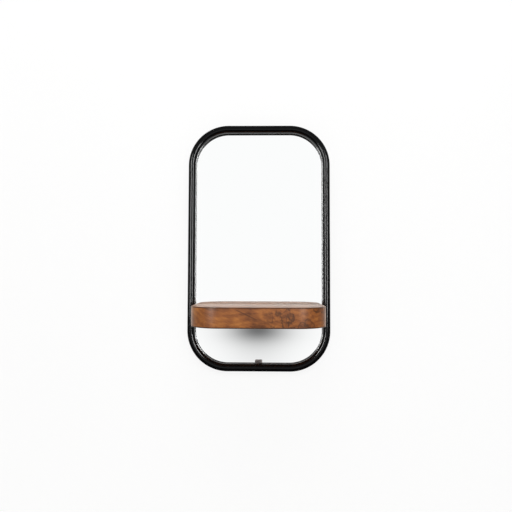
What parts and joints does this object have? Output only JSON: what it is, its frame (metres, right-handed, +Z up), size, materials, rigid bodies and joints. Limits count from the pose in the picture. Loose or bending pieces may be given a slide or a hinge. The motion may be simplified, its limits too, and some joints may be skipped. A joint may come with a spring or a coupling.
{
  "type": "mirror with shelf",
  "caption": "Upright wall mirror in a bent round-tube frame with rounded corners, with a thick wooden shelf between its side tubes.",
  "frame": {"origin": "middle of the hanging plate's back face, on the wall", "axes": "+Z up, +Y into the wall, so the mirror faces -Y; +X to the right as one faces the mirror"},
  "size_m": [0.3, 0.1347, 0.52],
  "materials": {
    "coated_steel": "satin black powder coat on mild steel",
    "mirror_glass": "silvered float glass with ground arrises",
    "shelf_wood": "solid warm brown hardwood with lively figure, oiled",
    "hardboard": "brown pressed hardboard, raw",
    "clip_steel": "blued spring steel",
    "zinc_steel": "bright zinc plate",
    "rubber": "matt black rubber",
    "nylon": "moulded black nylon",
    "foam_tape": "white foam adhesive tape"
  },
  "bodies": {
    "mirror": {"frame_tube": "coated_steel", "hanging_plate": "coated_steel", "mirror_glass": "mirror_glass", "backing_board": "hardboard", "mirror_seal": "rubber", "mirror_edge_clip": "clip_steel", "shelf_board": "shelf_wood", "mirror_tape_left": "foam_tape", "mirror_tape_right": "foam_tape", "mirror_ledge_left": "coated_steel", "mirror_ledge_right": "coated_steel", "shelf_bracket_left": "coated_steel", "shelf_bracket_right": "coated_steel", "shelf_screw_left_front": "zinc_steel", "shelf_screw_left_back": "zinc_steel", "shelf_screw_right_front": "zinc_steel", "shelf_screw_right_back": "zinc_steel", "wall_buffer_left": "rubber", "wall_buffer_right": "rubber", "button_bush_left_top": "nylon", "button_bush_left_bottom": "nylon", "button_bush_right_top": "nylon", "button_bush_right_bottom": "nylon", "button_screw_left_top": "zinc_steel", "button_screw_left_bottom": "zinc_steel", "button_screw_right_top": "zinc_steel", "button_screw_right_bottom": "zinc_steel"},
    "button_left_top": {"turn_button_left_top": "zinc_steel"},
    "button_left_bottom": {"turn_button_left_bottom": "zinc_steel"},
    "button_right_top": {"turn_button_right_top": "zinc_steel"},
    "button_right_bottom": {"turn_button_right_bottom": "zinc_steel"}
  },
  "joints": [
    {"name": "turn_left_top", "type": "hinge", "parent": "mirror", "child": "button_left_top", "pos_m": [-0.142, -0.00625, -0.1025], "axis": [0, 1, 0], "continuous": true},
    {"name": "turn_left_bottom", "type": "hinge", "parent": "mirror", "child": "button_left_bottom", "pos_m": [-0.142, -0.00625, -0.3825], "axis": [0, 1, 0], "continuous": true},
    {"name": "turn_right_top", "type": "hinge", "parent": "mirror", "child": "button_right_top", "pos_m": [0.142, -0.00625, -0.1025], "axis": [0, 1, 0], "continuous": true},
    {"name": "turn_right_bottom", "type": "hinge", "parent": "mirror", "child": "button_right_bottom", "pos_m": [0.142, -0.00625, -0.3825], "axis": [0, 1, 0], "continuous": true}
  ]
}
